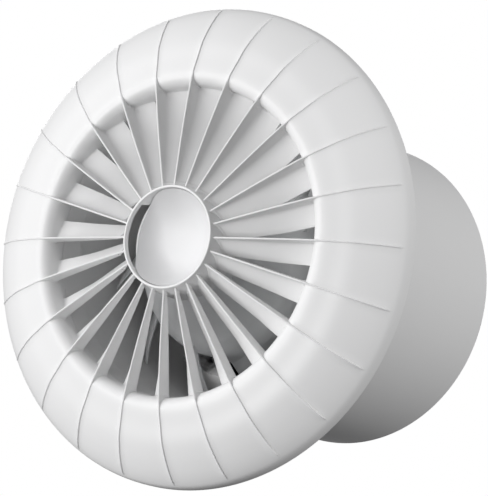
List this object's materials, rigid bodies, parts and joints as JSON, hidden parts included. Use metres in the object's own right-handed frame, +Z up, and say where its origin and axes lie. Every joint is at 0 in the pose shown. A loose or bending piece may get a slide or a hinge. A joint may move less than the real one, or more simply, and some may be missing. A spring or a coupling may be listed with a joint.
{
  "type": "bathroom extractor fan",
  "caption": "Round bathroom extractor fan with a bell-shaped front, radial inlet vanes, an axial impeller on a shaded-pole motor, and a rear duct spigot.",
  "frame": {"origin": "centre of the wall flange's rear face, on the fan axis, where the fan meets the wall or ceiling", "axes": "+Y along the fan axis into the wall and duct, -Y into the room, +Z up for a wall fan, +X right seen from the room"},
  "size_m": [0.151, 0.1119, 0.151],
  "materials": {
    "grille_white": "satin gloss",
    "casing_white": "satin",
    "impeller_white": "satin",
    "nylon": "natural",
    "black_nylon": "satin",
    "rubber": "matt",
    "plated_steel": "zinc plated",
    "zinc_strip": "zinc plated strip",
    "lamination_steel": "stacked electrical steel",
    "copper": "enamelled copper",
    "bronze": "sintered bronze",
    "brass": "plain",
    "aluminium": "as cast",
    "fibre": "vulcanised fibre",
    "brown_sleeving": "matt",
    "blue_sleeving": "matt",
    "insulating_tape": "satin black"
  },
  "bodies": {
    "casing": {"duct_casing": "casing_white", "motor_carrier": "casing_white", "carrier_screw_1": "plated_steel", "carrier_screw_2": "plated_steel", "carrier_screw_3": "plated_steel", "stator_core": "lamination_steel", "shading_ring_1": "copper", "shading_ring_2": "copper", "coil_bobbin": "black_nylon", "coil_winding": "copper", "coil_tape": "insulating_tape", "front_bearing_bracket": "zinc_strip", "rear_bearing_bracket": "zinc_strip", "front_bearing": "bronze", "rear_bearing": "bronze", "motor_screw_1": "plated_steel", "motor_screw_2": "plated_steel", "motor_spacer_1": "nylon", "motor_spacer_2": "nylon", "motor_grommet_1": "rubber", "motor_grommet_2": "rubber", "motor_nut_1": "plated_steel", "motor_nut_2": "plated_steel", "terminal_block": "nylon", "terminal_screw_1": "brass", "terminal_screw_2": "brass", "terminal_cover": "casing_white", "terminal_cover_screw": "plated_steel", "cable_grommet": "rubber", "coil_lead_live": "brown_sleeving", "coil_lead_neutral": "blue_sleeving"},
    "rotor": {"motor_shaft": "plated_steel", "rotor_core": "lamination_steel", "rotor_end_ring_front": "aluminium", "rotor_end_ring_rear": "aluminium", "thrust_washer_front": "fibre", "thrust_washer_rear": "fibre", "impeller": "impeller_white", "impeller_clip": "plated_steel"},
    "front_cover": {"front_grille": "grille_white", "hub_cap": "grille_white"}
  },
  "joints": [
    {"name": "impeller_spin", "type": "hinge", "parent": "casing", "child": "rotor", "pos_m": [0, 0.021, 0], "axis": [0, -1, 0], "continuous": true},
    {"name": "front_cover_pull", "type": "slide", "parent": "casing", "child": "front_cover", "axis": [0, -1, 0], "range_m": [0, 0.06]}
  ]
}
